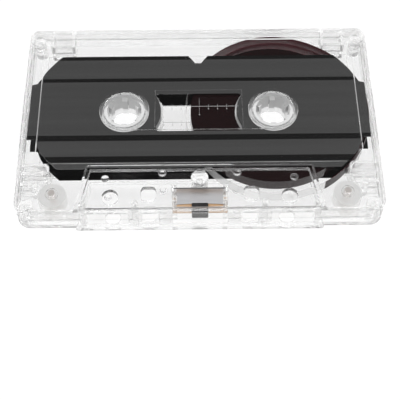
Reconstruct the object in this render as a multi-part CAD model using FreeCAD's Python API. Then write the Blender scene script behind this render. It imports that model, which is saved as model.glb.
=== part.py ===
"""Audio cassette tape with a clear welded shell, lying flat.

The origin is at the bottom centre of the bounding box. X runs along the long side, Y runs from the
open front edge to the rear edge, and Z is up. All lengths are in millimetres.
"""

import math
import os

import FreeCAD
import Part

# Driving dimensions of the cassette
LENGTH = 100.4
DEPTH = 63.8
HEAD_THICKNESS = 12.0
BODY_THICKNESS = 8.7
HUB_SPACING = 42.5
HUB_OFFSET = 1.9
TAPE_WIDTH = 3.8

# Edges and levels that other places are measured from
HALF_LENGTH = LENGTH / 2
FRONT_Y = -DEPTH / 2
REAR_Y = DEPTH / 2
MID_Z = HEAD_THICKNESS / 2
BODY_LOW = MID_Z - BODY_THICKNESS / 2
TAPE_LOW = MID_Z - TAPE_WIDTH / 2
HUB_X = HUB_SPACING / 2
HUB_Y = HUB_OFFSET

# Shell mouldings
REAR_CORNER_R = 2.8
FRONT_CORNER_R = 3.8
PLATE = 1.2
SIDE_WALL = 1.2
HEAD_PLATE = 1.4
HEAD_FRONT_WALL = 0.8
HEAD_DEPTH = 14.4
HEAD_TAPER = 3.05
HEAD_CORNER_R = 1.2
HEAD_CHAMFER = 0.8
EDGE_CHAMFER = 0.35
RIB = 0.8
ROOT = 0.4
INNER_LOW = BODY_LOW + PLATE
WALL_X = HALF_LENGTH - SIDE_WALL
WALL_REAR_Y = REAR_Y - SIDE_WALL
HEAD_REAR_Y = FRONT_Y + HEAD_DEPTH

# Label recess, window pane and hub openings in the outer faces
LABEL_RECESS_DEPTH = 0.25
LABEL_SIDE_MARGIN = 4.75
LABEL_REAR_MARGIN = 4.2
LABEL_FRONT_GAP = 1.2
LABEL_CORNER_WIDTH = 2.4
LABEL_CORNER_DEPTH = 4.1
PANE_HALF = 12.5
PANE_BEHIND_HUBS = 6.8
PANE_BEFORE_HUBS = 7.0
HUB_RING_R = 7.05
HUB_OPENING_R = 6.1

# Guide rollers and their pins
ROLLER_SIDE_INSET = 10.0
ROLLER_FRONT_INSET = 6.4
ROLLER_R = 3.8
ROLLER_HEIGHT = 4.2
ROLLER_END_GAP = 0.2
PIN_R = 0.95
PIN_CLEARANCE = 0.07
PIN_SOCKET = 0.6
PIN_BOSS_R = 1.7
ROLLER_X = HALF_LENGTH - ROLLER_SIDE_INSET
ROLLER_Y = FRONT_Y + ROLLER_FRONT_INSET

# Openings in the front edge, from the rollers inwards, with guide posts between them; the outer posts
# stand far enough in for the tape to turn away before it reaches the front wall
OUTER_POST_GAP = 8.4
PINCH_WINDOW_GAP = 0.8
PINCH_WINDOW = 11.6
WINDOW_SPACING = 3.6
SMALL_WINDOW = 4.6
HEAD_WINDOW = 15.0
WINDOW_HEIGHT = 6.2
GUIDE_POST_R = 0.9
HEAD_SIDE_MARGIN = 2.3
OUTER_POST_X = ROLLER_X - OUTER_POST_GAP
PINCH_OUTER = OUTER_POST_X - PINCH_WINDOW_GAP
PINCH_INNER = PINCH_OUTER - PINCH_WINDOW
INNER_POST_X = PINCH_INNER - WINDOW_SPACING / 2
SMALL_OUTER = PINCH_INNER - WINDOW_SPACING
SMALL_INNER = SMALL_OUTER - SMALL_WINDOW
HEAD_FRONT_HALF = OUTER_POST_X + HEAD_SIDE_MARGIN
HEAD_REAR_HALF = HEAD_FRONT_HALF - HEAD_TAPER

# Holes for the player's capstans and locating pins
CAPSTAN_R = 2.2
CAPSTAN_SETBACK = 3.7
CAPSTAN_FROM_WINDOW = 4.7
LOCATOR_WIDTH = 4.1
LOCATOR_DEPTH = 4.2
LOCATOR_CORNER_R = 1.3
LOCATOR_SETBACK = 4.6
LOCATOR_FROM_WINDOW = 1.95
CAPSTAN_X = PINCH_INNER + CAPSTAN_FROM_WINDOW
CAPSTAN_Y = FRONT_Y + CAPSTAN_SETBACK
LOCATOR_X = SMALL_OUTER - LOCATOR_FROM_WINDOW
LOCATOR_Y = FRONT_Y + LOCATOR_SETBACK

# Posts where the two halves are welded
POST_R = 1.75
CENTRE_POST_R = 2.3
REAR_POST_SIDE_INSET = 2.9
REAR_POST_INSET = 4.0
FRONT_POST_SIDE_INSET = 3.4
FRONT_POST_INSET = 3.0
CENTRE_POST_SETBACK = 10.3
PEG_R = 0.8
PEG_LENGTH = 1.0
PEG_CLEARANCE = 0.05

# Write-protect wells at the rear edge
WELL_SIDE_INSET = 7.2
WELL_WIDTH = 5.4
WELL_DEPTH = 5.3
TAB_SLIT = 0.4

# Ribs beside the rollers
U_RIB_LENGTH = 7.6
U_RIB_WIDTH = 3.4
U_RIB_SETBACK = 12.6
STUB_RIB_LENGTH = 3.6
STUB_RIB_SETBACK = 9.5
STUB_RIB_END_R = 1.0
U_BEND_X = WALL_X - U_RIB_LENGTH + U_RIB_WIDTH / 2
U_BEND_Y = FRONT_Y + U_RIB_SETBACK + U_RIB_WIDTH / 2

# Liners; each corner of the outline is a list of insets from its side edge and its front or rear edge
LINER_THICKNESS = 0.15
LINER_SIDE_GAP = 0.6
LINER_REAR_GAP = 8.4
LINER_HEAD_LAP = 0.1
LINER_NOTCH_DEPTH = 2.9
LINER_NOTCH_MOUTH = 2.9
LINER_NOTCH_FLOOR = 0.9
LINER_REAR_CORNER = ((8.4, 0.0), (4.4, 4.8), (3.4, 6.3), (2.7, 7.9), (1.6, 10.1), (0.0, 10.6))
LINER_FRONT_CORNER = ((0.0, 9.9), (2.2, 9.9), (3.0, 7.9), (4.0, 5.7), (6.2, 2.9), (9.1, 0.0))
LINER_WINDOW_HALF = 12.2
LINER_WINDOW_BEHIND = 6.2
LINER_WINDOW_BEFORE = 6.8
LINER_WINDOW_END_R = 10.45
LINER_WINDOW_CORNER_R = 0.9
LINER_HALF = WALL_X - LINER_SIDE_GAP
LINER_REAR_Y = WALL_REAR_Y - LINER_REAR_GAP
LINER_FRONT_Y = HEAD_REAR_Y - LINER_HEAD_LAP

# Embossed bands of a liner, as pairs of distance from its edge and depth below the plate
FRONT_BANDS = ((-1.0, 0.35), (2.1, 0.0), (4.3, 0.35), (9.3, 0.0), (11.4, 0.3))
REAR_BANDS = ((9.6, 0.3), (8.1, 0.6), (1.6, 0.1), (-1.0, 0.6))

# Hubs
HUB_R = 10.9
HUB_HEIGHT = 4.0
HUB_RIM = 1.7
HUB_WEB = 2.6
BOSS_CLEARANCE = 0.35
BOSS_RECESS = 0.45
HUB_BORE_R = 4.95
TEETH = 6
TOOTH_TIP_R = 3.95
TOOTH_WIDTH = 1.6
TOOTH_LENGTH = 5.8
TOOTH_SLOPE = 0.9
CLAMP_ANGLE = 50.0
CLAMP_DEPTH = 2.6
BOSS_R = HUB_OPENING_R - BOSS_CLEARANCE

# Tape; the loose turn is a list of angles about the right hub and distances outside the wound pack
STRIP_THICKNESS = 0.1
PACK_SIDE_MARGIN = 4.15
PACK_REAR_MARGIN = 5.2
LEADER_WOUND = 0.25
TAPE_SETBACK = 1.2
TAPE_GAP = 0.1
LOOSE_TURN = ((-44, 3.75), (-22, 3.8), (0, 3.95), (30, 4.4), (60, 4.5), (82, 4.55), (104, 4.3), (124, 3.6),
              (144, 2.7), (162, 1.85), (180, 1.35), (208, 1.75), (232, 2.8), (255, 3.5), (280, 3.7),
              (300, 3.55), (318, 3.35), (345, 3.05), (372, 2.75), (400, 2.5), (430, 2.35), (455, 2.1),
              (472, 1.6), (490, 1.0), (512, 0.4))
PACK_R = min(WALL_X - HUB_X - PACK_SIDE_MARGIN, WALL_REAR_Y - HUB_Y - PACK_REAR_MARGIN)
LEADER_OUTER_R = HUB_R + LEADER_WOUND
TAPE_LINE_Y = FRONT_Y + TAPE_SETBACK

# Shield, spring and pad behind the head window
SHIELD_SETBACK = 6.7
SHIELD_HALF = 7.0
SHIELD_THICKNESS = 0.4
SHIELD_END_GAP = 0.1
HOLDER_WIDTH = 1.2
HOLDER_GRIP = 0.8
SPRING_HALF = 7.5
SPRING_SETBACK = 3.55
SPRING_BOW = 0.4
SPRING_WIDTH = 2.0
SPRING_THICKNESS = 0.15
PAD_WIDTH = 4.5
PAD_THICKNESS = 2.4
PAD_GAP = 0.05
SHIELD_Y = FRONT_Y + SHIELD_SETBACK
SPRING_END_Y = FRONT_Y + SPRING_SETBACK
SPRING_LOW = MID_Z - SPRING_WIDTH / 2

UP = FreeCAD.Vector(0, 0, 1)
SIDES = (-1, 1)


def vec(x, y, z=0.0):
    return FreeCAD.Vector(x, y, z)


def box(x0, x1, y0, y1, z0, z1):
    return Part.makeBox(x1 - x0, y1 - y0, z1 - z0, vec(x0, y0, z0))


def disc(x, y, radius, z0, z1):
    return Part.makeCylinder(radius, z1 - z0, vec(x, y, z0), UP)


def ring(x, y, outer, inner, z0, z1):
    return disc(x, y, outer, z0, z1).cut(disc(x, y, inner, z0, z1))


def prism(points, z0, z1):
    """Extrude a closed outline of (x, y) points from z0 to z1."""
    wire = Part.makePolygon([vec(x, y, z0) for x, y in points + points[:1]])
    return Part.Face(wire).extrude(vec(0, 0, z1 - z0))


def round_upright_edges(solid, choose, radius):
    """Round the upright edges whose middle point passes the choose(x, y) test."""
    edges = []
    for edge in solid.Edges:
        box_ = edge.BoundBox
        upright = box_.ZLength > 0.01 and box_.XLength < 0.001 and box_.YLength < 0.001
        if upright and choose(box_.XMin, box_.YMin):
            edges.append(edge)
    return solid.makeFillet(radius, edges)


def mirror_up(shape):
    """The same form on the upper half, mirrored about the plane where the halves meet."""
    return shape.mirror(vec(0, 0, MID_Z), UP)


def body_block(inset, z0, z1):
    """The rounded outline of the main body, moved inwards by the inset."""
    block = box(-HALF_LENGTH + inset, HALF_LENGTH - inset, FRONT_Y + inset, REAR_Y - inset, z0, z1)
    rear = max(REAR_CORNER_R - inset, 0.4)
    front = max(FRONT_CORNER_R - inset, 0.4)
    block = round_upright_edges(block, lambda x, y: y > 0, rear)
    return round_upright_edges(block, lambda x, y: y < 0, front)


def head_block(inset, z0, z1):
    """The wedge outline of the thick section at the front, moved inwards by the inset."""
    slope = (HEAD_FRONT_HALF - HEAD_REAR_HALF) / (HEAD_REAR_Y - FRONT_Y)
    rear_y = HEAD_REAR_Y - inset
    rear_half = HEAD_REAR_HALF - inset + slope * inset
    front_half = HEAD_FRONT_HALF - inset
    outline = [(-front_half, FRONT_Y), (front_half, FRONT_Y), (rear_half, rear_y), (-rear_half, rear_y)]
    block = prism(outline, z0, z1)
    radius = max(HEAD_CORNER_R - inset, 0.4)
    return round_upright_edges(block, lambda x, y: y > (FRONT_Y + HEAD_REAR_Y) / 2, radius)


def chamfer_low_rim(solid, z, size, choose):
    """Break the outer edges at height z whose rearmost y passes the choose(y) test."""
    edges = []
    for edge in solid.Edges:
        box_ = edge.BoundBox
        if abs(box_.ZMin - z) < 0.001 and abs(box_.ZMax - z) < 0.001 and choose(box_.YMax):
            edges.append(edge)
    return solid.makeChamfer(size, edges)


def label_recess():
    """The sunk field for a label, which leaves the window pane and the hub rings standing."""
    low_y = HEAD_REAR_Y + LABEL_FRONT_GAP
    high_y = REAR_Y - LABEL_REAR_MARGIN
    half = HALF_LENGTH - LABEL_SIDE_MARGIN
    top = BODY_LOW + LABEL_RECESS_DEPTH
    pane_front = HUB_Y - PANE_BEFORE_HUBS
    pane_rear = HUB_Y + PANE_BEHIND_HUBS
    cut_x = half - LABEL_CORNER_WIDTH
    cut_y = low_y + LABEL_CORNER_DEPTH
    right = [(cut_x, low_y), (half, cut_y), (half, high_y)]
    left = [(-x, y) for x, y in reversed(right)]
    field = prism(right + left, BODY_LOW, top)
    field = field.cut(box(-PANE_HALF, PANE_HALF, pane_front, pane_rear, BODY_LOW, top))
    field = field.cut(box(-HUB_X, HUB_X, pane_front, pane_front + RIB, BODY_LOW, top))
    for side in SIDES:
        field = field.cut(disc(side * HUB_X, HUB_Y, HUB_RING_R, BODY_LOW, top))
    return field


def front_windows():
    """The openings in the front edge, as one group of cutters that stops at the joint plane."""
    low = MID_Z - WINDOW_HEIGHT / 2
    back = FRONT_Y + SIDE_WALL + 0.5
    spans = [(-HEAD_WINDOW / 2, HEAD_WINDOW / 2)]
    for inner, outer in ((SMALL_INNER, SMALL_OUTER), (PINCH_INNER, PINCH_OUTER)):
        spans.append((inner, outer))
        spans.append((-outer, -inner))
    cutters = [box(x0, x1, FRONT_Y - 1, back, low, MID_Z + 1) for x0, x1 in spans]
    return cutters[0].multiFuse(cutters[1:])


def hollow():
    """The space inside the lower half, deeper under the thick front section."""
    space = body_block(SIDE_WALL, INNER_LOW, MID_Z)
    head_space = head_block(HEAD_PLATE, HEAD_PLATE, MID_Z)
    head_space = head_space.cut(box(-HALF_LENGTH, HALF_LENGTH, FRONT_Y, FRONT_Y + HEAD_FRONT_WALL, 0, MID_Z))
    return space.fuse(head_space)


def weld_posts():
    """Place, radius and floor height of each post that joins the halves."""
    rear_x = HALF_LENGTH - REAR_POST_SIDE_INSET
    front_x = HALF_LENGTH - FRONT_POST_SIDE_INSET
    posts = [(0.0, FRONT_Y + CENTRE_POST_SETBACK, CENTRE_POST_R, HEAD_PLATE)]
    for side in SIDES:
        posts.append((side * rear_x, REAR_Y - REAR_POST_INSET, POST_R, INNER_LOW))
        posts.append((side * front_x, FRONT_Y + FRONT_POST_INSET, POST_R, INNER_LOW))
    return posts


def other_side(shape):
    return shape.mirror(vec(0, 0, 0), vec(1, 0, 0))


def u_rib(side):
    """A rib folded round like a U, whose closed end faces the tape."""
    half = U_RIB_WIDTH / 2
    outer = box(U_BEND_X, WALL_X, U_BEND_Y - half, U_BEND_Y + half, INNER_LOW, MID_Z)
    outer = outer.fuse(disc(U_BEND_X, U_BEND_Y, half, INNER_LOW, MID_Z))
    inside = half - RIB
    inner = box(U_BEND_X, WALL_X, U_BEND_Y - inside, U_BEND_Y + inside, INNER_LOW, MID_Z)
    inner = inner.fuse(disc(U_BEND_X, U_BEND_Y, inside, INNER_LOW, MID_Z))
    rib = outer.cut(inner)
    return rib if side > 0 else other_side(rib)


def stub_rib(side):
    """A short rib behind the roller that ends in a small boss."""
    y = FRONT_Y + STUB_RIB_SETBACK
    end_x = WALL_X - STUB_RIB_LENGTH
    rib = box(end_x, WALL_X + ROOT, y - RIB / 2, y + RIB / 2, INNER_LOW - ROOT, MID_Z)
    rib = rib.fuse(disc(end_x, y, STUB_RIB_END_R, INNER_LOW - ROOT, MID_Z))
    return rib if side > 0 else other_side(rib)


def well_walls(side):
    """The three walls round a write-protect well."""
    outer = HALF_LENGTH - WELL_SIDE_INSET
    inner = outer - WELL_WIDTH
    back = REAR_Y - WELL_DEPTH
    solid = box(inner - RIB, outer + RIB, back - RIB, WALL_REAR_Y, INNER_LOW, MID_Z)
    solid = solid.cut(box(inner, outer, back, REAR_Y, INNER_LOW, MID_Z))
    return solid if side > 0 else other_side(solid)


def tab_slits(side):
    """Slits that leave the write-protect tab hanging on the rear wall by one end."""
    outer = HALF_LENGTH - WELL_SIDE_INSET
    inner = outer - WELL_WIDTH
    slits = box(inner, outer, WALL_REAR_Y, REAR_Y, INNER_LOW, INNER_LOW + TAB_SLIT)
    slits = slits.fuse(box(inner, inner + TAB_SLIT, WALL_REAR_Y, REAR_Y, INNER_LOW, MID_Z))
    return slits if side > 0 else other_side(slits)


def tape_guides():
    """Posts that hold the tape forward between the front openings."""
    y = TAPE_LINE_Y + STRIP_THICKNESS / 2 + TAPE_GAP + GUIDE_POST_R
    posts = []
    for side in SIDES:
        for x in (INNER_POST_X, OUTER_POST_X):
            posts.append(disc(side * x, y, GUIDE_POST_R, HEAD_PLATE - ROOT, MID_Z))
    return posts


def holders():
    """Slotted blocks that carry the ends of the shield and of the leaf spring."""
    blocks = []
    floor = HEAD_PLATE - ROOT
    for side in SIDES:
        shield_x = side * SHIELD_HALF
        grip = SHIELD_THICKNESS / 2 + HOLDER_GRIP
        block = box(shield_x - HOLDER_WIDTH / 2, shield_x + HOLDER_WIDTH / 2,
                    SHIELD_Y - grip, SHIELD_Y + grip, floor, MID_Z)
        blocks.append(block)
        spring_x = side * (SPRING_HALF - HOLDER_WIDTH / 2)
        block = box(spring_x - HOLDER_WIDTH / 2, spring_x + HOLDER_WIDTH / 2,
                    SPRING_END_Y - HOLDER_GRIP, SPRING_END_Y + HOLDER_GRIP, floor, MID_Z)
        blocks.append(block)
    return blocks


def holder_slots():
    """The slots in those blocks, each as wide as the sheet in it."""
    slots = []
    for side in SIDES:
        half = SHIELD_HALF + SHIELD_END_GAP
        x0, x1 = sorted((side * (half - HOLDER_WIDTH), side * half))
        y = SHIELD_THICKNESS / 2
        slots.append(box(x0, x1, SHIELD_Y - y, SHIELD_Y + y, HEAD_PLATE, MID_Z))
    slots.append(spring_sheet(SPRING_HALF + PEG_CLEARANCE, PEG_CLEARANCE, SPRING_LOW - PEG_CLEARANCE, MID_Z))
    return slots


def locating_hole(side):
    """A rounded square hole for the player's locating pin."""
    x = side * LOCATOR_X
    half = LOCATOR_WIDTH / 2
    depth = LOCATOR_DEPTH / 2
    hole = box(x - half, x + half, LOCATOR_Y - depth, LOCATOR_Y + depth, -1, MID_Z)
    return round_upright_edges(hole, lambda x, y: True, LOCATOR_CORNER_R)


def lower_half():
    """The lower shell half without what only one of the two halves has."""
    shell = chamfer_low_rim(body_block(0, BODY_LOW, MID_Z), BODY_LOW, EDGE_CHAMFER, lambda y: True)
    head = chamfer_low_rim(head_block(0, 0, MID_Z), 0, HEAD_CHAMFER, lambda y: y > FRONT_Y + 0.1)
    head = chamfer_low_rim(head, 0, EDGE_CHAMFER, lambda y: y < FRONT_Y + 0.1)
    shell = shell.fuse(head)
    shell = shell.cut(hollow()).cut(label_recess()).cut(front_windows())
    extra = [disc(x, y, radius, floor - ROOT, MID_Z) for x, y, radius, floor in weld_posts()]
    for side in SIDES:
        extra.append(u_rib(side))
        extra.append(stub_rib(side))
        extra.append(well_walls(side))
        boss_top = MID_Z - ROLLER_HEIGHT / 2 - ROLLER_END_GAP
        extra.append(disc(side * ROLLER_X, ROLLER_Y, PIN_BOSS_R, INNER_LOW - ROOT, boss_top))
    extra += tape_guides() + holders()
    shell = shell.multiFuse(extra)
    for side in SIDES:
        shell = shell.cut(tab_slits(side))
        shell = shell.cut(disc(side * HUB_X, HUB_Y, HUB_OPENING_R, 0, MID_Z))
        shell = shell.cut(disc(side * CAPSTAN_X, CAPSTAN_Y, CAPSTAN_R, -1, MID_Z))
        shell = shell.cut(locating_hole(side))
        shell = shell.cut(disc(side * ROLLER_X, ROLLER_Y, PIN_R, INNER_LOW - PIN_SOCKET, MID_Z))
    for slot in holder_slots():
        shell = shell.cut(slot)
    return shell.removeSplitter()


def lower_half_shell():
    shell = lower_half()
    for x, y, _, _ in weld_posts():
        shell = shell.fuse(disc(x, y, PEG_R, MID_Z - ROOT, MID_Z + PEG_LENGTH))
    return shell


def upper_half_shell():
    shell = mirror_up(lower_half())
    for x, y, _, _ in weld_posts():
        depth = PEG_LENGTH + PEG_CLEARANCE
        shell = shell.cut(disc(x, y, PEG_R + PEG_CLEARANCE, MID_Z, MID_Z + depth))
    return shell


def liner_outline(z0, z1):
    """The outline of a liner, with its notch and cut corners, as a thick block."""
    right = [(LINER_NOTCH_FLOOR, LINER_REAR_Y - LINER_NOTCH_DEPTH), (LINER_NOTCH_MOUTH, LINER_REAR_Y)]
    for inset_x, inset_y in LINER_REAR_CORNER:
        right.append((LINER_HALF - inset_x, LINER_REAR_Y - inset_y))
    for inset_x, inset_y in LINER_FRONT_CORNER:
        right.append((LINER_HALF - inset_x, LINER_FRONT_Y + inset_y))
    left = [(-x, y) for x, y in reversed(right)]
    return prism(right + left, z0, z1)


def liner_window(z0, z1):
    """The opening over the window, whose ends curve round the hubs."""
    front = HUB_Y - LINER_WINDOW_BEFORE
    rear = HUB_Y + LINER_WINDOW_BEHIND
    opening = box(-LINER_WINDOW_HALF, LINER_WINDOW_HALF, front, rear, z0, z1)
    opening = round_upright_edges(opening, lambda x, y: True, LINER_WINDOW_CORNER_R)
    for side in SIDES:
        opening = opening.cut(disc(side * HUB_X, HUB_Y, LINER_WINDOW_END_R, z0, z1))
    return opening


def embossed_sheet():
    """A sheet bent into lengthwise bands that touches the plate only along their ridges."""
    profile = [(LINER_FRONT_Y + inset, INNER_LOW + depth) for inset, depth in FRONT_BANDS]
    profile += [(LINER_REAR_Y - inset, INNER_LOW + depth) for inset, depth in REAR_BANDS]
    upper = [(y, z + LINER_THICKNESS) for y, z in reversed(profile)]
    wire = Part.makePolygon([vec(-HALF_LENGTH, y, z) for y, z in profile + upper + profile[:1]])
    return Part.Face(wire).extrude(vec(LENGTH, 0, 0))


def lower_liner():
    sheet = embossed_sheet().common(liner_outline(0, MID_Z))
    sheet = sheet.cut(liner_window(0, MID_Z))
    for side in SIDES:
        sheet = sheet.cut(disc(side * HUB_X, HUB_Y, HUB_RING_R, 0, MID_Z))
    return sheet.removeSplitter()


def hub_teeth(x):
    """Teeth round the bore, with sloping ends that help the player's splines in."""
    half = TOOTH_LENGTH / 2
    root = (HUB_BORE_R + BOSS_R) / 2
    profile = [(root, MID_Z - half - TOOTH_SLOPE), (TOOTH_TIP_R, MID_Z - half), (TOOTH_TIP_R, MID_Z + half),
               (root, MID_Z + half + TOOTH_SLOPE)]
    wire = Part.makePolygon([vec(r, -TOOTH_WIDTH / 2, z) for r, z in profile + profile[:1]])
    tooth = Part.Face(wire).extrude(vec(0, TOOTH_WIDTH, 0))
    teeth = []
    for index in range(TEETH):
        copy = tooth.copy()
        copy.rotate(vec(0, 0), UP, (index + 0.5) * 360.0 / TEETH)
        copy.translate(vec(x, HUB_Y))
        teeth.append(copy)
    return teeth


def clamp_sector(x, z0, z1):
    """A sector at the rim of a hub, from the clamp's depth out to the rim, facing the front."""
    sector = Part.makeCylinder(HUB_R, z1 - z0, vec(0, 0, z0), UP, CLAMP_ANGLE)
    sector = sector.cut(disc(0, 0, HUB_R - CLAMP_DEPTH, z0, z1))
    sector.rotate(vec(0, 0), UP, -90 - CLAMP_ANGLE / 2)
    sector.translate(vec(x, HUB_Y))
    return sector


def hub(side):
    """A hub with its toothed bore, web and rim, and a gap in the rim for the clamp."""
    x = side * HUB_X
    low = MID_Z - HUB_HEIGHT / 2
    high = MID_Z + HUB_HEIGHT / 2
    boss_low = BODY_LOW + BOSS_RECESS
    shape = disc(x, HUB_Y, BOSS_R, boss_low, HEAD_THICKNESS - boss_low)
    shape = shape.fuse(disc(x, HUB_Y, HUB_R - HUB_RIM, MID_Z - HUB_WEB / 2, MID_Z + HUB_WEB / 2))
    shape = shape.fuse(ring(x, HUB_Y, HUB_R, HUB_R - HUB_RIM - 0.01, low, high))
    shape = shape.cut(disc(x, HUB_Y, HUB_BORE_R, 0, HEAD_THICKNESS))
    shape = shape.multiFuse(hub_teeth(x))
    return shape.cut(clamp_sector(x, low, high)).removeSplitter()


def hub_clamp(side):
    """The wedge that pins the leader's end to the hub."""
    low = MID_Z - HUB_HEIGHT / 2
    return clamp_sector(side * HUB_X, low, low + HUB_HEIGHT)


def tape_pack():
    return ring(HUB_X, HUB_Y, PACK_R, HUB_R, TAPE_LOW, TAPE_LOW + TAPE_WIDTH)


def leader_turns():
    return ring(-HUB_X, HUB_Y, LEADER_OUTER_R, HUB_R, TAPE_LOW, TAPE_LOW + TAPE_WIDTH)


def loose_tape_turn():
    """The outermost turn, which has sprung open and winds down to the pack after more than one round."""
    faces = []
    for first, middle, last in zip(LOOSE_TURN[0::2], LOOSE_TURN[1::2], LOOSE_TURN[2::2]):
        edges = []
        ends = []
        for offset in (-STRIP_THICKNESS / 2, STRIP_THICKNESS / 2):
            points = []
            for angle, beyond in (first, middle, last):
                x, y = at_angle((HUB_X, HUB_Y), PACK_R + beyond + offset, angle)
                points.append(vec(x, y, TAPE_LOW))
            edges.append(Part.Arc(*points).toShape())
            ends.append((points[0], points[2]))
        for index in (0, 1):
            edges.append(Part.LineSegment(ends[0][index], ends[1][index]).toShape())
        faces.append(Part.Face(Part.Wire(Part.__sortEdges__(edges))))
    stretches = [face.extrude(vec(0, 0, TAPE_WIDTH)) for face in faces]
    return stretches[0].multiFuse(stretches[1:]).removeSplitter()


def strip_line(a, b):
    """A straight stretch of tape from a to b."""
    length = math.hypot(b[0] - a[0], b[1] - a[1])
    half = STRIP_THICKNESS / 2
    nx = -(b[1] - a[1]) / length * half
    ny = (b[0] - a[0]) / length * half
    corners = [(a[0] + nx, a[1] + ny), (b[0] + nx, b[1] + ny), (b[0] - nx, b[1] - ny), (a[0] - nx, a[1] - ny)]
    return prism(corners, TAPE_LOW, TAPE_LOW + TAPE_WIDTH)


def strip_arc(centre, radius, start, end):
    """A stretch of tape round a centre, from one angle up to the other, in degrees."""
    half = STRIP_THICKNESS / 2
    x, y = centre
    arc = Part.makeCylinder(radius + half, TAPE_WIDTH, vec(0, 0, TAPE_LOW), UP, end - start)
    arc = arc.cut(disc(0, 0, radius - half, TAPE_LOW, TAPE_LOW + TAPE_WIDTH))
    arc.rotate(vec(0, 0), UP, start)
    arc.translate(vec(x, y))
    return arc


def at_angle(centre, radius, angle):
    a = math.radians(angle)
    return centre[0] + radius * math.cos(a), centre[1] + radius * math.sin(a)


def outer_tangent_angle(first, first_r, second, second_r, turn):
    """Angle at which a line touches two circles on the same side, left (1) or right (-1) of the way.

    A negative radius makes the line touch that circle on its other side.
    """
    dx = second[0] - first[0]
    dy = second[1] - first[1]
    way = math.degrees(math.atan2(dy, dx))
    lean = math.degrees(math.acos((first_r - second_r) / math.hypot(dx, dy)))
    return way + turn * lean


def front_path(side):
    """The tape's way on one side, from the middle of the front edge out to the roller."""
    roller = (side * ROLLER_X, ROLLER_Y)
    wrap = ROLLER_R + TAPE_GAP + STRIP_THICKNESS / 2
    post_wrap = GUIDE_POST_R + TAPE_GAP + STRIP_THICKNESS / 2
    post = (side * OUTER_POST_X, TAPE_LINE_Y + post_wrap)
    angle = outer_tangent_angle(post, post_wrap, roller, wrap, -side)
    leave = at_angle(post, post_wrap, angle)
    reach = at_angle(roller, wrap, angle)
    start, end = sorted((-90.0, (angle + 180) % 360 - 180))
    pieces = [strip_line((0, TAPE_LINE_Y), (post[0], TAPE_LINE_Y)), strip_arc(post, post_wrap, start, end),
              strip_line(leave, reach)]
    return pieces, roller, wrap, angle


def leader_to_hub(roller, wrap, angle):
    """The leader round the left roller and on to the left hub, bent at the U rib where that is in its way."""
    turns = LEADER_OUTER_R + TAPE_GAP + STRIP_THICKNESS / 2
    hub_centre = (-HUB_X, HUB_Y)
    bend = (-U_BEND_X, U_BEND_Y)
    bend_wrap = U_RIB_WIDTH / 2 + TAPE_GAP + STRIP_THICKNESS / 2
    out = outer_tangent_angle(roller, wrap, bend, -bend_wrap, 1)
    away = outer_tangent_angle(bend, bend_wrap, hub_centre, -turns, -1)
    if away > out - 180:
        pieces = [strip_line(at_angle(roller, wrap, out), at_angle(bend, -bend_wrap, out)),
                  strip_arc(bend, bend_wrap, out - 180, away),
                  strip_line(at_angle(bend, bend_wrap, away), at_angle(hub_centre, -turns, away))]
    else:
        out = outer_tangent_angle(roller, wrap, hub_centre, turns, 1)
        pieces = [strip_line(at_angle(roller, wrap, out), at_angle(hub_centre, turns, out))]
    return pieces + [strip_arc(roller, wrap, out % 360, angle % 360)]


def leader_run():
    """The clear leader from the left hub round both rollers to the loose turn on the right."""
    pieces, roller, wrap, angle = front_path(-1)
    pieces += leader_to_hub(roller, wrap, angle)
    right, roller, wrap, angle = front_path(1)
    pieces += right
    angle_on_turn, beyond = LOOSE_TURN[0]
    end = at_angle((HUB_X, HUB_Y), PACK_R + beyond, angle_on_turn)
    out = outer_tangent_angle(roller, wrap, end, 0, -1)
    pieces.append(strip_arc(roller, wrap, angle, out))
    pieces.append(strip_line(at_angle(roller, wrap, out), end))
    return pieces[0].multiFuse(pieces[1:]).removeSplitter()


def guide_roller(side):
    x = side * ROLLER_X
    half = ROLLER_HEIGHT / 2
    return ring(x, ROLLER_Y, ROLLER_R, PIN_R + PIN_CLEARANCE, MID_Z - half, MID_Z + half)


def roller_pin(side):
    low = INNER_LOW - PIN_SOCKET
    return disc(side * ROLLER_X, ROLLER_Y, PIN_R, low, HEAD_THICKNESS - low)


def magnetic_shield():
    y = SHIELD_THICKNESS / 2
    return box(-SHIELD_HALF, SHIELD_HALF, SHIELD_Y - y, SHIELD_Y + y, HEAD_PLATE, HEAD_THICKNESS - HEAD_PLATE)


def spring_sheet(half_length, growth, z0, z1):
    """The bowed leaf as a solid, made thicker by the growth on both faces."""
    edges = []
    ends = []
    for offset in (-SPRING_THICKNESS / 2 - growth, SPRING_THICKNESS / 2 + growth):
        start = vec(-half_length, SPRING_END_Y + offset, z0)
        end = vec(half_length, SPRING_END_Y + offset, z0)
        middle = vec(0, SPRING_END_Y + SPRING_BOW + offset, z0)
        edges.append(Part.Arc(start, middle, end).toShape())
        ends.append((start, end))
    for index in (0, 1):
        edges.append(Part.LineSegment(ends[0][index], ends[1][index]).toShape())
    wire = Part.Wire(Part.__sortEdges__(edges))
    return Part.Face(wire).extrude(vec(0, 0, z1 - z0))


def pressure_spring():
    return spring_sheet(SPRING_HALF, 0, SPRING_LOW, SPRING_LOW + SPRING_WIDTH)


def pressure_pad():
    back = SPRING_END_Y + SPRING_BOW - SPRING_THICKNESS / 2 - PAD_GAP
    return box(-PAD_WIDTH / 2, PAD_WIDTH / 2, back - PAD_THICKNESS, back, TAPE_LOW, TAPE_LOW + TAPE_WIDTH)


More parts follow.
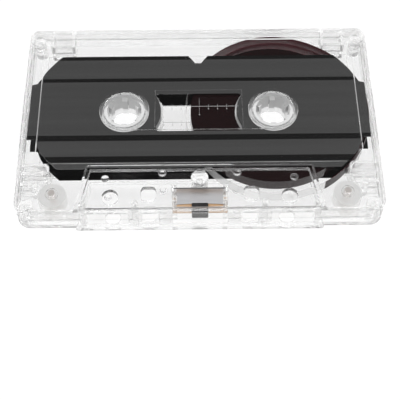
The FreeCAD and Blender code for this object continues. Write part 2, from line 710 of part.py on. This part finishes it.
def build():
    parts = {
        "lower_half_shell": lower_half_shell(),
        "upper_half_shell": upper_half_shell(),
        "lower_liner": lower_liner(),
        "upper_liner": mirror_up(lower_liner()),
        "tape_pack": tape_pack(),
        "leader_turns": leader_turns(),
        "loose_tape_turn": loose_tape_turn(),
        "leader_run": leader_run(),
        "magnetic_shield": magnetic_shield(),
        "pressure_spring": pressure_spring(),
        "pressure_pad": pressure_pad(),
    }
    for name, side in (("left", -1), ("right", 1)):
        parts[name + "_hub"] = hub(side)
        parts[name + "_hub_clamp"] = hub_clamp(side)
        parts[name + "_guide_roller"] = guide_roller(side)
        parts[name + "_roller_pin"] = roller_pin(side)
    return parts


os.makedirs("parts", exist_ok=True)
for node, shape in build().items():
    shape.exportStep("parts/" + node + ".step")
    box_ = shape.BoundBox
    print(node, "solids", len(shape.Solids), "valid", shape.isValid(), "volume", round(shape.Volume, 2),
          "z", round(box_.ZMin, 2), round(box_.ZMax, 2))
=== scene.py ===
"""Audio cassette tape with a clear shell, dressed for the camera. Lengths are in metres."""

import math
import random

import bmesh
import bpy
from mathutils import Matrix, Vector


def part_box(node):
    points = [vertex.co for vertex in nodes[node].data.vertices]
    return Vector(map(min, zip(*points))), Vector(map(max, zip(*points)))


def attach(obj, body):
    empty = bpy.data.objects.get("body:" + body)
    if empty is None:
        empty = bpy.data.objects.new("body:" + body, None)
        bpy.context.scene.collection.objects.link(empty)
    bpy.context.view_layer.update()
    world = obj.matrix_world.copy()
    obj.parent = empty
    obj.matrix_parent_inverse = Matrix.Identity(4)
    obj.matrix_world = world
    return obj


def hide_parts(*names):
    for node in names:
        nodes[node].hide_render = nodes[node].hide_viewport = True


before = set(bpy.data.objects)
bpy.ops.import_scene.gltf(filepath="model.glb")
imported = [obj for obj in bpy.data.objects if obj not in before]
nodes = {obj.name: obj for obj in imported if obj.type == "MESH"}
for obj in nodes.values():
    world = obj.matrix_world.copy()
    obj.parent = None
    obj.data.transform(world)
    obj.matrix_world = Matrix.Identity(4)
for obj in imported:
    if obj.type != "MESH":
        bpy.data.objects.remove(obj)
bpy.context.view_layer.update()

MM = 0.001

# Half the thickness of the main body, and the plate of the thick section
HALF_BODY = 4.35 * MM
HEAD_PLATE = 1.4 * MM

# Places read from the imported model
shell_low, shell_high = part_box("upper_half_shell")
shell_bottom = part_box("lower_half_shell")[0]
hub_low, hub_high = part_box("right_hub")
pack_low, pack_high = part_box("tape_pack")
pad_low, pad_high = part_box("pressure_pad")
HUB_X = (hub_low.x + hub_high.x) / 2
HUB_Y = (hub_low.y + hub_high.y) / 2
FRONT_Y = shell_low.y
MID_Z = (pack_low.z + pack_high.z) / 2
HEAD_TOP = shell_high.z
BODY_TOP = MID_Z + HALF_BODY
HEAD_INSIDE = HEAD_TOP - HEAD_PLATE

# Scale printed on the window pane
SCALE_BEHIND_HUBS = 0.4 * MM
SCALE_HALF = 11.2 * MM
TICK_PITCH = 2.6 * MM
TICKS_EACH_SIDE = 4
TICK_LENGTH = 1.5 * MM
CENTRE_TICK_LENGTH = 5.6 * MM
LINE_WIDTH = 0.15 * MM
TICK_WIDTH = 0.07 * MM
PRINT_HEIGHT = 0.02 * MM
PRINT_LIFT = 0.005 * MM
DOT_R = 0.17 * MM
DOT_STEPS = 20
SCALE_SHIFT = 0.17 * MM

# Ejector marks moulded inside the thick section
MARK_R = 1.1 * MM
MARK_BEAD = 0.2 * MM
MARK_GAP = 0.01 * MM
MARK_STEPS = 40
MARK_PLACES = ((10.2 * MM, 11.6 * MM), (25.7 * MM, 10.0 * MM))

# Section of an ejector mark, as shares of its radius and of its bead's height
MARK_PROFILE = ((0.0, 0.28), (0.35, 0.26), (0.62, 0.18), (0.76, 0.08), (0.82, 0.12), (0.9, 0.3), (0.96, 0.2),
                (1.0, 0.02))

# Air between clear pieces that touch
AIR_GAP = 0.004 * MM

# Leader film spliced into the sprung turn, in degrees round the right hub
LEADER_FROM, LEADER_TO = 165.0, -61.0
LEADER_ALPHA = 0.3

# Edges of the shell, which are rounded where two faces meet at more than the sharp angle
EDGE_RADIUS = 0.1 * MM
EDGE_SEGMENTS = 2
SHARP_ANGLE = 40
JOIN_DISTANCE = 0.001 * MM

# Felt pad
FELT_STEPS = 14
FELT_ROUND = 0.35 * MM
FELT_ROUND_SEGMENTS = 3
FELT_ROUND_PROFILE = 0.6
FELT_FUZZ = 0.06 * MM
FELT_SEED = 7


# Node groups that several materials share

def new_group(name, inputs, outputs):
    """A shader node group with named number inputs and named outputs."""
    tree = bpy.data.node_groups.new(name, "ShaderNodeTree")
    for label, value in inputs:
        socket = tree.interface.new_socket(name=label, in_out="INPUT", socket_type="NodeSocketFloat")
        socket.default_value = value
    for label in outputs:
        tree.interface.new_socket(name=label, in_out="OUTPUT", socket_type="NodeSocketFloat")
    start = tree.nodes.new("NodeGroupInput")
    end = tree.nodes.new("NodeGroupOutput")
    return tree, start, end


def math_node(tree, operation, first, second=None):
    node = tree.nodes.new("ShaderNodeMath")
    node.operation = operation
    for index, value in enumerate((first, second)):
        if value is None:
            continue
        if isinstance(value, (int, float)):
            node.inputs[index].default_value = value
        else:
            tree.links.new(value, node.inputs[index])
    return node.outputs[0]


def product_sum(tree, a, b, c, d):
    """a times b plus c times d."""
    return math_node(tree, "ADD", math_node(tree, "MULTIPLY", a, b), math_node(tree, "MULTIPLY", c, d))


def inverse(tree, mask):
    return math_node(tree, "SUBTRACT", 1.0, mask)


def smooth_step(tree, value, low, high):
    node = tree.nodes.new("ShaderNodeMapRange")
    node.interpolation_type = "SMOOTHSTEP"
    node.inputs["From Min"].default_value = low
    node.inputs["From Max"].default_value = high
    tree.links.new(value, node.inputs["Value"])
    return node.outputs["Result"]


def above(tree, height, low, high):
    """From 0 at the elevation low to 1 at the elevation high, both in degrees."""
    return smooth_step(tree, height, math.sin(math.radians(low)), math.sin(math.radians(high)))


def blend(tree, factor, first, second):
    node = tree.nodes.new("ShaderNodeMix")
    for socket, value in (("Factor", factor), ("A", first), ("B", second)):
        if isinstance(value, float):
            node.inputs[socket].default_value = value
        else:
            tree.links.new(value, node.inputs[socket])
    return node.outputs["Result"]


def object_place(tree):
    return tree.nodes.new("ShaderNodeTexCoord").outputs["Object"]


def parts_of(tree, vector):
    """The X, Y and Z of a vector."""
    node = tree.nodes.new("ShaderNodeSeparateXYZ")
    tree.links.new(vector, node.inputs[0])
    return node.outputs


def facing(tree):
    """The X, Y and Z of the direction in which a face looks."""
    return parts_of(tree, tree.nodes.new("ShaderNodeNewGeometry").outputs["True Normal"])


def streaks(tree, scale, stretch):
    """Noise drawn out along the axes whose stretch is low."""
    mapping = tree.nodes.new("ShaderNodeMapping")
    mapping.inputs["Scale"].default_value = stretch
    noise = tree.nodes.new("ShaderNodeTexNoise")
    noise.inputs["Scale"].default_value = scale
    tree.links.new(object_place(tree), mapping.inputs["Vector"])
    tree.links.new(mapping.outputs[0], noise.inputs["Vector"])
    return noise.outputs["Fac"]


def fine_speckle_group():
    """Small grains about a middle of 0.5, as in a graphite coat, felt or printed ink."""
    tree, start, end = new_group("fine_speckle", (("Scale", 3000.0), ("Contrast", 1.0)), ("Grain",))
    noise = tree.nodes.new("ShaderNodeTexNoise")
    noise.inputs["Detail"].default_value = 3.0
    tree.links.new(object_place(tree), noise.inputs["Vector"])
    tree.links.new(start.outputs["Scale"], noise.inputs["Scale"])
    centred = math_node(tree, "SUBTRACT", noise.outputs["Fac"], 0.5)
    spread = math_node(tree, "MULTIPLY", centred, start.outputs["Contrast"])
    tree.links.new(math_node(tree, "ADD", spread, 0.5), end.inputs["Grain"])
    return tree


def moulding_waves_group():
    """The slow waves that flowing plastic leaves in a moulded face."""
    tree, start, end = new_group("moulding_waves", (("Scale", 60.0),), ("Height",))
    noise = tree.nodes.new("ShaderNodeTexNoise")
    noise.inputs["Detail"].default_value = 1.0
    tree.links.new(object_place(tree), noise.inputs["Vector"])
    tree.links.new(start.outputs["Scale"], noise.inputs["Scale"])
    tree.links.new(noise.outputs["Fac"], end.inputs["Height"])
    return tree


def wound_turns_group():
    """Rings round an upright axis at Centre X, Centre Y, where turns lie a little higher or lower."""
    inputs = (("Centre X", 0.0), ("Centre Y", 0.0), ("Fineness", 9000.0))
    tree, start, end = new_group("wound_turns", inputs, ("Turn",))
    place = parts_of(tree, object_place(tree))
    across = math_node(tree, "SUBTRACT", place["X"], start.outputs["Centre X"])
    along = math_node(tree, "SUBTRACT", place["Y"], start.outputs["Centre Y"])
    radius = math_node(tree, "SQRT", product_sum(tree, across, across, along, along))
    noise = tree.nodes.new("ShaderNodeTexNoise")
    noise.noise_dimensions = "1D"
    noise.inputs["Detail"].default_value = 4.0
    noise.inputs["Scale"].default_value = 1.0
    tree.links.new(math_node(tree, "MULTIPLY", radius, start.outputs["Fineness"]), noise.inputs["W"])
    tree.links.new(noise.outputs["Fac"], end.inputs["Turn"])
    return tree


FINE_SPECKLE = fine_speckle_group()
MOULDING_WAVES = moulding_waves_group()
WOUND_TURNS = wound_turns_group()


# Materials

# Upward part of a face's direction, from a wall to a plate
WALL_FROM, WALL_TO = 0.3, 0.8

# How far the roughness of a metal goes up and down along its streaks
STREAK_ROUGHNESS = 0.08


def new_material(name, **settings):
    """A material with its Principled BSDF, whose named sockets get the settings."""
    material = bpy.data.materials.new(name)
    material.use_nodes = True
    shader = material.node_tree.nodes["Principled BSDF"]
    for label, value in settings.items():
        socket = shader.inputs[label.replace("_", " ")]
        socket.default_value = (*value, 1.0) if isinstance(value, tuple) else value
    return material, material.node_tree, shader


def place_group(tree, group, **values):
    node = tree.nodes.new("ShaderNodeGroup")
    node.node_tree = group
    for label, value in values.items():
        node.inputs[label.replace("_", " ")].default_value = value
    return node.outputs[0]


def two_colours(tree, mask, first, second):
    """The first colour where the mask is 0, the second where it is 1."""
    mix = tree.nodes.new("ShaderNodeMix")
    mix.data_type = "RGBA"
    tree.links.new(mask, mix.inputs["Factor"])
    for label, colour in (("A", first), ("B", second)):
        if isinstance(colour, tuple):
            mix.inputs[label].default_value = (*colour, 1.0)
        else:
            tree.links.new(colour, mix.inputs[label])
    return mix.outputs["Result"]


def number_range(tree, mask, low, high):
    node = tree.nodes.new("ShaderNodeMapRange")
    node.inputs["To Min"].default_value = low
    node.inputs["To Max"].default_value = high
    tree.links.new(mask, node.inputs["Value"])
    return node.outputs["Result"]


def add_bump(tree, shader, height, distance):
    bump = tree.nodes.new("ShaderNodeBump")
    bump.inputs["Distance"].default_value = distance
    bump.inputs["Strength"].default_value = 1.0
    tree.links.new(height, bump.inputs["Height"])
    tree.links.new(bump.outputs["Normal"], shader.inputs["Normal"])


def let_light_in(tree, shader, tint):
    """Shadow rays and light scattered by what lies inside pass straight through clear plastic."""
    path = tree.nodes.new("ShaderNodeLightPath")
    clear = tree.nodes.new("ShaderNodeBsdfTransparent")
    clear.inputs["Color"].default_value = (tint, tint, tint, 1.0)
    spread = math_node(tree, "SUBTRACT", path.outputs["Is Glossy Ray"], path.outputs["Is Singular Ray"])
    inside = math_node(tree, "MAXIMUM", path.outputs["Is Shadow Ray"], path.outputs["Is Diffuse Ray"])
    mix = tree.nodes.new("ShaderNodeMixShader")
    tree.links.new(math_node(tree, "MAXIMUM", inside, spread), mix.inputs[0])
    tree.links.new(shader.outputs[0], mix.inputs[1])
    tree.links.new(clear.outputs[0], mix.inputs[2])
    tree.links.new(mix.outputs[0], tree.nodes["Material Output"].inputs["Surface"])


def upright_face(tree):
    """1 on upright faces and 0 on level ones."""
    level = smooth_step(tree, math_node(tree, "ABSOLUTE", facing(tree)["Z"]), WALL_FROM, WALL_TO)
    return inverse(tree, level)


def clear_plastic(name, tint, ior, waves, tone, wall_alpha=1.0):
    """Clear moulding. Its upright walls are drawn fainter than its plates, by the wall's Alpha."""
    material, tree, shader = new_material(name, Roughness=0.0, IOR=ior, Transmission_Weight=1.0)
    tree.links.new(number_range(tree, upright_face(tree), 1.0, wall_alpha), shader.inputs["Alpha"])
    height = place_group(tree, MOULDING_WAVES, Scale=waves)
    paler = tuple(min(1.0, value + 0.01) for value in tint)
    tree.links.new(two_colours(tree, height, tint, paler), shader.inputs["Base Color"])
    add_bump(tree, shader, height, 0.02 * MM)
    let_light_in(tree, shader, tone)
    return material


def liner_material(name, outer):
    """Embossed plastic sheet. Its outer face is a mirror with long faint streaks of painted shade, which
    stand in for the sheet's slight curves; it looks dark where it mirrors the dark cloths. The face towards
    the tape is darker, in painted shade, as the sheets and the tape shade each other there. Outer is 1 where
    the outer face looks up and -1 where it looks down."""
    material, tree, shader = new_material(name, Metallic=1.0)
    grain = place_group(tree, FINE_SPECKLE, Scale=2600.0, Contrast=1.4)
    # Long streaks of painted shade along X, standing in for the sheet's slight curves, mixed with a little
    # grain
    streak_shade_and_grain = blend(tree, 0.2, streaks(tree, 1.0, (6.0, 300.0, 6.0)), grain)
    mirror_face_with_painted_streaks = two_colours(tree, streak_shade_and_grain, (0.66, 0.66, 0.66), (1.0, 1.0, 1.0))
    # Painted shade: the face towards the tape is made darker than the outer face, where the sheets and the
    # tape shade each other
    shaded_inner_face = two_colours(tree, grain, (0.1, 0.1, 0.1), (0.17, 0.17, 0.17))
    is_outer = math_node(tree, "GREATER_THAN", math_node(tree, "MULTIPLY", facing(tree)["Z"], outer), 0.0)
    tree.links.new(two_colours(tree, is_outer, shaded_inner_face, mirror_face_with_painted_streaks), shader.inputs["Base Color"])
    tree.links.new(number_range(tree, grain, 0.1, 0.14), shader.inputs["Roughness"])
    add_bump(tree, shader, grain, 0.001 * MM)
    return material


def tape_material(name, dark, light, smooth, rough):
    """Tape seen on the edges of its turns."""
    material, tree, shader = new_material(name, IOR=1.45)
    turn = place_group(tree, WOUND_TURNS, Centre_X=HUB_X, Centre_Y=HUB_Y)
    tree.links.new(two_colours(tree, turn, dark, light), shader.inputs["Base Color"])
    tree.links.new(number_range(tree, turn, smooth, rough), shader.inputs["Roughness"])
    add_bump(tree, shader, turn, 0.004 * MM)
    return material


def loose_tape_material():
    """The sprung turn: matt backing outside, glossier oxide inside, and a spliced stretch of pale film."""
    material, tree, shader = new_material("loose_tape", IOR=1.45)
    turn = place_group(tree, WOUND_TURNS, Centre_X=HUB_X, Centre_Y=HUB_Y)
    oxide = two_colours(tree, turn, (0.075, 0.014, 0.02), (0.11, 0.024, 0.032))
    backing = two_colours(tree, turn, (0.012, 0.003, 0.004), (0.02, 0.006, 0.007))
    place = parts_of(tree, object_place(tree))
    across = math_node(tree, "SUBTRACT", place["X"], HUB_X)
    along = math_node(tree, "SUBTRACT", place["Y"], HUB_Y)
    normal = facing(tree)
    outward = product_sum(tree, across, normal["X"], along, normal["Y"])
    is_backing = math_node(tree, "GREATER_THAN", outward, 0.0)
    angle = math_node(tree, "ARCTAN2", along, across)
    past = math_node(tree, "LESS_THAN", angle, math.radians(LEADER_TO))
    before = math_node(tree, "GREATER_THAN", angle, math.radians(LEADER_FROM))
    is_leader = math_node(tree, "MAXIMUM", past, before)
    tape = two_colours(tree, is_backing, oxide, backing)
    film = two_colours(tree, turn, (0.86, 0.86, 0.855), (0.93, 0.93, 0.925))
    tree.links.new(two_colours(tree, is_leader, tape, film), shader.inputs["Base Color"])
    tree.links.new(number_range(tree, is_leader, 1.0, LEADER_ALPHA), shader.inputs["Alpha"])
    tree.links.new(number_range(tree, is_backing, 0.2, 0.35), shader.inputs["Roughness"])
    return material


def metal_material(name, base, paler, roughness, stretch):
    """Rolled or drawn metal: fine streaks along its length."""
    material, tree, shader = new_material(name, Metallic=1.0)
    streak = streaks(tree, 1000.0, stretch)
    tree.links.new(two_colours(tree, streak, base, paler), shader.inputs["Base Color"])
    gloss = number_range(tree, streak, roughness - STREAK_ROUGHNESS, roughness + STREAK_ROUGHNESS)
    tree.links.new(gloss, shader.inputs["Roughness"])
    add_bump(tree, shader, streak, 0.004 * MM)
    return material


def felt_material():
    material, tree, shader = new_material("pad_felt", Roughness=0.95, Sheen_Weight=0.3)
    grain = place_group(tree, FINE_SPECKLE, Scale=5200.0, Contrast=2.0)
    fibres = two_colours(tree, grain, (0.006, 0.005, 0.005), (0.03, 0.026, 0.024))
    tree.links.new(fibres, shader.inputs["Base Color"])
    add_bump(tree, shader, grain, 0.05 * MM)
    return material


def hub_material():
    """Faintly milky plastic, whose tone and gloss change in slow waves."""
    material, tree, shader = new_material("hub_plastic", IOR=1.5, Transmission_Weight=0.45)
    height = place_group(tree, MOULDING_WAVES, Scale=150.0)
    plastic = two_colours(tree, height, (0.94, 0.945, 0.945), (0.97, 0.97, 0.97))
    tree.links.new(plastic, shader.inputs["Base Color"])
    tree.links.new(number_range(tree, height, 0.08, 0.16), shader.inputs["Roughness"])
    let_light_in(tree, shader, 0.97)
    return material


def roller_material():
    """Milky plastic that lets some light through, with a faint grain."""
    material, tree, shader = new_material("milky_roller", IOR=1.5, Transmission_Weight=0.5)
    grain = place_group(tree, FINE_SPECKLE, Scale=300.0, Contrast=0.6)
    plastic = two_colours(tree, grain, (0.9, 0.9, 0.89), (0.95, 0.95, 0.94))
    tree.links.new(plastic, shader.inputs["Base Color"])
    tree.links.new(number_range(tree, grain, 0.4, 0.5), shader.inputs["Roughness"])
    let_light_in(tree, shader, 0.9)
    return material


def print_material():
    """Thin white ink, through which what lies below shows."""
    material, tree, shader = new_material("white_print", Roughness=0.6, Alpha=0.45)
    grain = place_group(tree, FINE_SPECKLE, Scale=6000.0)
    ink = two_colours(tree, grain, (0.78, 0.78, 0.78), (0.9, 0.9, 0.9))
    tree.links.new(ink, shader.inputs["Base Color"])
    return material


def dress(material, *names):
    """Give CAD nodes their finish."""
    for name in names:
        mesh = nodes[name].data
        mesh.materials.clear()
        mesh.materials.append(material)


def round_edges(*names):
    """Give sharp moulded edges the small radius that catches the light."""
    for name in names:
        join = nodes[name].modifiers.new("joined_faces", "WELD")
        join.merge_threshold = JOIN_DISTANCE
        radius = nodes[name].modifiers.new("edge_radius", "BEVEL")
        radius.width = EDGE_RADIUS
        radius.segments = EDGE_SEGMENTS
        radius.limit_method = "ANGLE"
        radius.angle_limit = math.radians(SHARP_ANGLE)
        radius.use_clamp_overlap = False
        nodes[name].modifiers.new("even_shading", "WEIGHTED_NORMAL").keep_sharp = True


def part_clear_faces(*names):
    """Draw each face in by a hair, so that clear pieces which touch have air between them."""
    for name in names:
        shrink = nodes[name].modifiers.new("air_gap", "DISPLACE")
        shrink.mid_level = 0.0
        shrink.strength = -AIR_GAP


CLEAR_SHELL = clear_plastic("clear_shell", (0.985, 0.985, 0.985), 1.5, 60.0, 0.985, 0.5)
HUB_PLASTIC = hub_material()
LEADER_FILM = clear_plastic("leader_film", (0.96, 0.96, 0.955), 1.35, 200.0, 0.96)
UPPER_LINER = liner_material("upper_liner_sheet", 1)
LOWER_LINER = liner_material("lower_liner_sheet", -1)
PACK_TAPE = tape_material("wound_tape", (0.007, 0.0016, 0.0018), (0.018, 0.0035, 0.0045), 0.1, 0.2)
LOOSE_TAPE = loose_tape_material()
SHIELD_STEEL = metal_material("shield_steel", (0.5, 0.5, 0.515), (0.62, 0.62, 0.63), 0.35, (0.05, 1, 1))
PIN_STEEL = metal_material("pin_steel", (0.88, 0.83, 0.8), (0.95, 0.91, 0.88), 0.6, (1, 1, 0.05))
BRONZE = metal_material("spring_bronze", (0.55, 0.33, 0.17), (0.72, 0.46, 0.26), 0.3, (0.05, 1, 1))
FELT = felt_material()
ROLLER = roller_material()
PRINT = print_material()

dress(CLEAR_SHELL, "lower_half_shell", "upper_half_shell")
dress(HUB_PLASTIC, "left_hub", "right_hub", "left_hub_clamp", "right_hub_clamp")
dress(LEADER_FILM, "leader_turns", "leader_run")
dress(UPPER_LINER, "upper_liner")
dress(LOWER_LINER, "lower_liner")
dress(PACK_TAPE, "tape_pack")
dress(LOOSE_TAPE, "loose_tape_turn")
dress(SHIELD_STEEL, "magnetic_shield")
dress(PIN_STEEL, "left_roller_pin", "right_roller_pin")
dress(BRONZE, "pressure_spring")
dress(ROLLER, "left_guide_roller", "right_guide_roller")
round_edges("lower_half_shell", "upper_half_shell")
part_clear_faces("lower_half_shell", "upper_half_shell", "left_hub", "right_hub", "left_hub_clamp",
                 "right_hub_clamp", "leader_turns", "leader_run")


# Small pieces that the scene makes itself

def finish_piece(name, mesh, material, body):
    """Turn a bmesh into a piece that rides on a body."""
    data = bpy.data.meshes.new(name)
    mesh.to_mesh(data)
    mesh.free()
    data.materials.append(material)
    piece = bpy.data.objects.new(name, data)
    bpy.context.scene.collection.objects.link(piece)
    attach(piece, body)
    return piece


def flat_bar(mesh, x0, x1, y0, y1, z0, z1):
    """A block with sharp edges between these limits."""
    made = bmesh.ops.create_cube(mesh, size=1.0)["verts"]
    for vert in made:
        vert.co.x = x0 if vert.co.x < 0 else x1
        vert.co.y = y0 if vert.co.y < 0 else y1
        vert.co.z = z0 if vert.co.z < 0 else z1


def printed_dot(mesh, x, y, z0, z1):
    made = bmesh.ops.create_cone(mesh, cap_ends=True, segments=DOT_STEPS, radius1=DOT_R, radius2=DOT_R,
                                 depth=z1 - z0)
    bmesh.ops.translate(mesh, verts=made["verts"], vec=(x, y, (z0 + z1) / 2))


def window_scale(name, z0, z1):
    """A line across the window with ticks, each ending in a dot, and a long tick in the middle."""
    mesh = bmesh.new()
    line_y = HUB_Y + SCALE_BEHIND_HUBS
    half = LINE_WIDTH / 2
    tick = TICK_WIDTH / 2
    flat_bar(mesh, SCALE_SHIFT - SCALE_HALF, SCALE_SHIFT + SCALE_HALF, line_y - half, line_y + half, z0, z1)
    for index in range(-TICKS_EACH_SIDE, TICKS_EACH_SIDE + 1):
        x = SCALE_SHIFT + index * TICK_PITCH
        length = TICK_LENGTH if index else CENTRE_TICK_LENGTH
        rear = line_y + length / 2
        front = line_y - length / 2
        for y0, y1 in ((front, line_y - half), (line_y + half, rear)):
            flat_bar(mesh, x - tick, x + tick, y0, y1, z0, z1)
        printed_dot(mesh, x, front - DOT_R, z0, z1)
    finish_piece(name, mesh, PRINT, "shell")


def ejector_mark(name, x, y, face_z, side):
    """A round bead with a low lens in it. Side is 1 under the upper plate and -1 on the lower one."""
    mesh = bmesh.new()
    rings = []
    for share, height in MARK_PROFILE[1:]:
        ring = []
        for step in range(MARK_STEPS):
            angle = 2 * math.pi * step / MARK_STEPS
            r = share * MARK_R
            z = face_z - side * height * MARK_BEAD
            ring.append(mesh.verts.new((x + r * math.cos(angle), y + r * math.sin(angle), z)))
        rings.append(ring)
    centre = mesh.verts.new((x, y, face_z - side * MARK_PROFILE[0][1] * MARK_BEAD))
    back = mesh.verts.new((x, y, face_z))
    for step in range(MARK_STEPS):
        after = (step + 1) % MARK_STEPS
        mesh.faces.new((centre, rings[0][step], rings[0][after]))
        mesh.faces.new((back, rings[-1][after], rings[-1][step]))
        for inner, outer in zip(rings, rings[1:]):
            mesh.faces.new((inner[step], outer[step], outer[after], inner[after]))
    bmesh.ops.recalc_face_normals(mesh, faces=mesh.faces)
    for face in mesh.faces:
        face.smooth = True
    finish_piece(name, mesh, CLEAR_SHELL, "shell")


def felt_pad():
    """The felt block, with soft corners and a fuzzy surface."""
    mesh = bmesh.new()
    flat_bar(mesh, pad_low.x, pad_high.x, pad_low.y, pad_high.y, pad_low.z, pad_high.z)
    bmesh.ops.bevel(mesh, geom=mesh.edges[:], offset=FELT_ROUND, segments=FELT_ROUND_SEGMENTS, affect="EDGES",
                    profile=FELT_ROUND_PROFILE)
    bmesh.ops.triangulate(mesh, faces=mesh.faces[:])
    bmesh.ops.subdivide_edges(mesh, edges=mesh.edges[:], cuts=FELT_STEPS, use_grid_fill=True)
    mesh.normal_update()
    rng = random.Random(FELT_SEED)
    for vert in mesh.verts:
        vert.co -= vert.normal * rng.uniform(0.0, FELT_FUZZ)
    piece = finish_piece("felt_pad", mesh, FELT, "pad")
    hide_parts("pressure_pad")


def small_pieces():
    high = BODY_TOP + PRINT_LIFT
    window_scale("upper_window_scale", high, high + PRINT_HEIGHT)
    low = 2 * MID_Z - BODY_TOP - PRINT_LIFT
    window_scale("lower_window_scale", low - PRINT_HEIGHT, low)
    for x, setback in MARK_PLACES:
        for name, side in (("left", -1), ("right", 1)):
            place = (side * x, FRONT_Y + setback)
            where = "inner" if x == MARK_PLACES[0][0] else "outer"
            ejector_mark(f"upper_{name}_{where}_mark", *place, HEAD_INSIDE - MARK_GAP, 1)
            ejector_mark(f"lower_{name}_{where}_mark", *place, 2 * MID_Z - HEAD_INSIDE + MARK_GAP, -1)
    felt_pad()


small_pieces()


# Floor, light and camera

FLOOR_DROP = 0.2 * MM
FLOOR_HALF = 1.5
FLOOR_GLOW = 0.86
FLOOR_GLOW_THROUGH_PLASTIC = 0.84
FLOOR_ALBEDO = 0.24

# Brightness of the tent and of the two cloths that hang in it
SKY_BRIGHT = 0.72
SKY_GREY = 0.096
SKY_BLACK = 0.01

# Elevations in degrees between which one part of the tent fades into the next
LOW_FROM, LOW_TO = 4, 12
BACKDROP_FROM, BACKDROP_TO = 39, 46
GREY_FROM, GREY_TO = 43, 50
BRIGHT_FROM, BRIGHT_TO = 72, 86

# Sideways and rearward parts of a direction between which the cloths end or begin
SIDE_FROM, SIDE_TO = 0.22, 0.34
AHEAD_FROM, AHEAD_TO = 0.0, 0.15

# Lamp, camera and light paths
SOFTBOX_PLACE = (0.0, -0.2, 0.6)
SOFTBOX_SIZE = (1.0, 0.5)
SOFTBOX_POWER = 1.6
CAMERA_PLACE = (-0.0017054, -0.1603076, 0.2285781)
CAMERA_TURN = (31.1417, -0.0279, -0.6921)
LENS = 85.42
SENSOR_WIDTH = 36.0
CLEAR_BOUNCES = 48
MIRROR_BOUNCES = 24


def pale_floor():
    mesh = bpy.data.meshes.new("floor")
    z = shell_bottom.z - FLOOR_DROP
    corners = [(-FLOOR_HALF, -FLOOR_HALF, z), (FLOOR_HALF, -FLOOR_HALF, z), (FLOOR_HALF, FLOOR_HALF, z),
               (-FLOOR_HALF, FLOOR_HALF, z)]
    mesh.from_pydata(corners, [], [(0, 1, 2, 3)])
    floor = bpy.data.objects.new("floor", mesh)
    bpy.context.scene.collection.objects.link(floor)
    material, tree, shader = new_material("pale_floor", Roughness=0.9, Specular_IOR_Level=0.0,
                                          Base_Color=(FLOOR_ALBEDO,) * 3, Emission_Color=(1.0, 1.0, 1.0))
    path = tree.nodes.new("ShaderNodeLightPath")
    glow = number_range(tree, path.outputs["Is Transmission Ray"], FLOOR_GLOW, FLOOR_GLOW_THROUGH_PLASTIC)
    tree.links.new(glow, shader.inputs["Emission Strength"])
    mesh.materials.append(material)


def sky():
    """A pale tent. Behind the cassette hangs a grey cloth over a black one, which its flat faces mirror, with
    the tent below them. Seen through clear plastic, the black one is white."""
    world = bpy.data.worlds.new("light_tent")
    bpy.context.scene.world = world
    world.use_nodes = True
    tree = world.node_tree
    tree.nodes.clear()
    output = tree.nodes.new("ShaderNodeOutputWorld")
    background = tree.nodes.new("ShaderNodeBackground")
    way = parts_of(tree, tree.nodes.new("ShaderNodeTexCoord").outputs["Generated"])
    height = way["Z"]
    ahead = smooth_step(tree, way["Y"], AHEAD_FROM, AHEAD_TO)
    beside = smooth_step(tree, math_node(tree, "ABSOLUTE", way["X"]), SIDE_FROM, SIDE_TO)
    elsewhere = math_node(tree, "MAXIMUM", inverse(tree, ahead), beside)
    elsewhere = math_node(tree, "MAXIMUM", elsewhere, above(tree, height, BRIGHT_FROM, BRIGHT_TO))
    below = inverse(tree, above(tree, height, LOW_FROM, LOW_TO))
    elsewhere = math_node(tree, "MAXIMUM", elsewhere, below)
    cloth = blend(tree, above(tree, height, GREY_FROM, GREY_TO), SKY_BLACK, SKY_GREY)
    mirrored = blend(tree, elsewhere, cloth, SKY_BRIGHT)
    backdrop = inverse(tree, above(tree, height, BACKDROP_FROM, BACKDROP_TO))
    seen_through = blend(tree, math_node(tree, "MAXIMUM", elsewhere, backdrop), SKY_GREY, 1.0)
    path = tree.nodes.new("ShaderNodeLightPath")
    strength = blend(tree, path.outputs["Is Transmission Ray"], mirrored, seen_through)
    strength = blend(tree, path.outputs["Is Camera Ray"], strength, 1.0)
    tree.links.new(strength, background.inputs["Strength"])
    tree.links.new(background.outputs[0], output.inputs["Surface"])


def softbox(name, place, size, power):
    lamp = bpy.data.lights.new(name, "AREA")
    lamp.shape = "RECTANGLE"
    lamp.size, lamp.size_y = size
    lamp.energy = power
    holder = bpy.data.objects.new(name, lamp)
    holder.location = place
    holder.rotation_euler = (-Vector(place)).to_track_quat("-Z", "Y").to_euler()
    bpy.context.scene.collection.objects.link(holder)


def light_paths():
    """Enough bounces for the many walls of a clear shell."""
    settings = bpy.context.scene.cycles
    settings.max_bounces = CLEAR_BOUNCES
    settings.transmission_bounces = CLEAR_BOUNCES
    settings.glossy_bounces = MIRROR_BOUNCES
    settings.transparent_max_bounces = CLEAR_BOUNCES


def camera():
    data = bpy.data.cameras.new("camera")
    data.lens = LENS
    data.sensor_width = SENSOR_WIDTH
    holder = bpy.data.objects.new("camera", data)
    holder.location = CAMERA_PLACE
    holder.rotation_euler = [math.radians(angle) for angle in CAMERA_TURN]
    bpy.context.scene.collection.objects.link(holder)
    bpy.context.scene.camera = holder


pale_floor()
sky()
softbox("overhead_softbox", SOFTBOX_PLACE, SOFTBOX_SIZE, SOFTBOX_POWER)
light_paths()
camera()
bpy.context.scene.view_settings.view_transform = "Standard"
